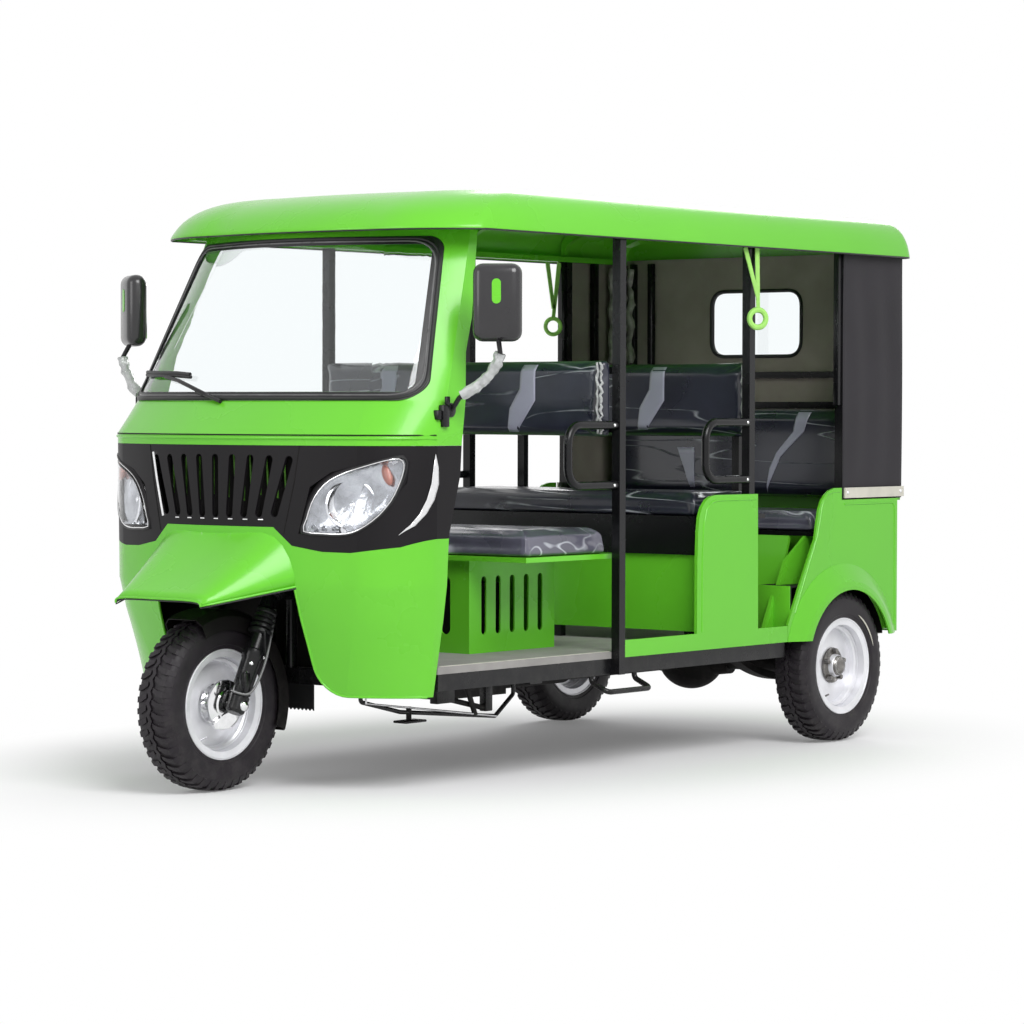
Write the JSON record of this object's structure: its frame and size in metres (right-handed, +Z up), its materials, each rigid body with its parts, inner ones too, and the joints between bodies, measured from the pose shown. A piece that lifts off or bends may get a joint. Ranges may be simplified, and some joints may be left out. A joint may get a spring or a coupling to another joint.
{
  "type": "auto rickshaw",
  "caption": "Three-wheeled passenger auto rickshaw with a rounded cab, an open-sided canopy, a driver bench and two passenger benches, steered by a raked front fork.",
  "frame": {"origin": "on the ground, at the middle of the vehicle's length and width", "axes": "+X forward, +Y the vehicle's left, +Z up"},
  "size_m": [3.295, 1.7256, 1.8859],
  "materials": {
    "green_paint": "gloss",
    "black_paint": "satin",
    "black_plastic": "satin",
    "lamp": "gloss",
    "red_lamp": "gloss",
    "cream_trim": "satin",
    "glass": "gloss",
    "rubber": "matte",
    "tyre": "matte",
    "steel": "satin",
    "cast": "matte",
    "vinyl": "satin",
    "curtain": "matte",
    "floor": "matte"
  },
  "bodies": {
    "body": {"chassis_frame": "black_paint", "steering_neck": "black_paint", "side_steps": "black_paint", "mud_flap": "rubber", "control_rods": "black_paint", "floor_pan": "floor", "side_sills": "green_paint", "firewall": "black_paint", "front_apron": "green_paint", "front_mask": "black_plastic", "front_cowl": "green_paint", "nose_fender": "green_paint", "headlamps": "lamp", "windshield_frame": "green_paint", "windshield_gasket": "rubber", "windshield_glass": "glass", "dashboard": "black_plastic", "engine_box": "green_paint", "engine_block": "cast", "drive_shaft": "black_paint", "exhaust": "black_paint", "rear_axle": "cast", "middle_bench": "black_paint", "middle_riser": "green_paint", "rear_bench": "black_paint", "rear_riser": "green_paint", "seat_gussets": "green_paint", "seat_side_panels": "green_paint", "quarter_panels": "green_paint", "wheel_houses": "black_paint", "tail_panel": "green_paint", "tail_lamps": "red_lamp", "side_curtains": "curtain", "curtain_battens": "cream_trim", "rear_wall": "curtain", "rear_window": "glass", "canopy_posts": "black_paint", "canopy_rails": "green_paint", "backrest_rails": "black_paint", "roof_shell": "green_paint", "grab_handles": "black_paint", "mirrors": "black_plastic", "driver_cushion": "vinyl", "driver_backrest": "vinyl", "middle_cushion": "vinyl", "middle_backrest": "vinyl", "rear_cushion": "vinyl", "rear_backrest": "vinyl"},
    "steering": {"front_fork": "black_paint", "handlebar": "black_paint", "front_mudguard": "black_plastic"},
    "front_wheel_set": {"front_tyre": "tyre", "front_wheel": "steel"},
    "rear_left_wheel_set": {"rear_tyre_left": "tyre", "rear_wheel_left": "steel"},
    "rear_right_wheel_set": {"rear_tyre_right": "tyre", "rear_wheel_right": "steel"}
  },
  "joints": [
    {"name": "steering_turn", "type": "hinge", "parent": "body", "child": "steering", "pos_m": [1.11209, 0, 0.7], "axis": [-0.4384, 0, 0.8988], "range_deg": [-35, 35]},
    {"name": "front_wheel_spin", "type": "hinge", "parent": "steering", "child": "front_wheel_set", "pos_m": [1.3775, 0, 0.27], "axis": [0, 1, 0], "continuous": true},
    {"name": "rear_left_wheel_spin", "type": "hinge", "parent": "body", "child": "rear_left_wheel_set", "pos_m": [-1.1825, 0.604, 0.27], "axis": [0, 1, 0], "continuous": true},
    {"name": "rear_right_wheel_spin", "type": "hinge", "parent": "body", "child": "rear_right_wheel_set", "pos_m": [-1.1825, -0.604, 0.27], "axis": [0, 1, 0], "continuous": true}
  ]
}
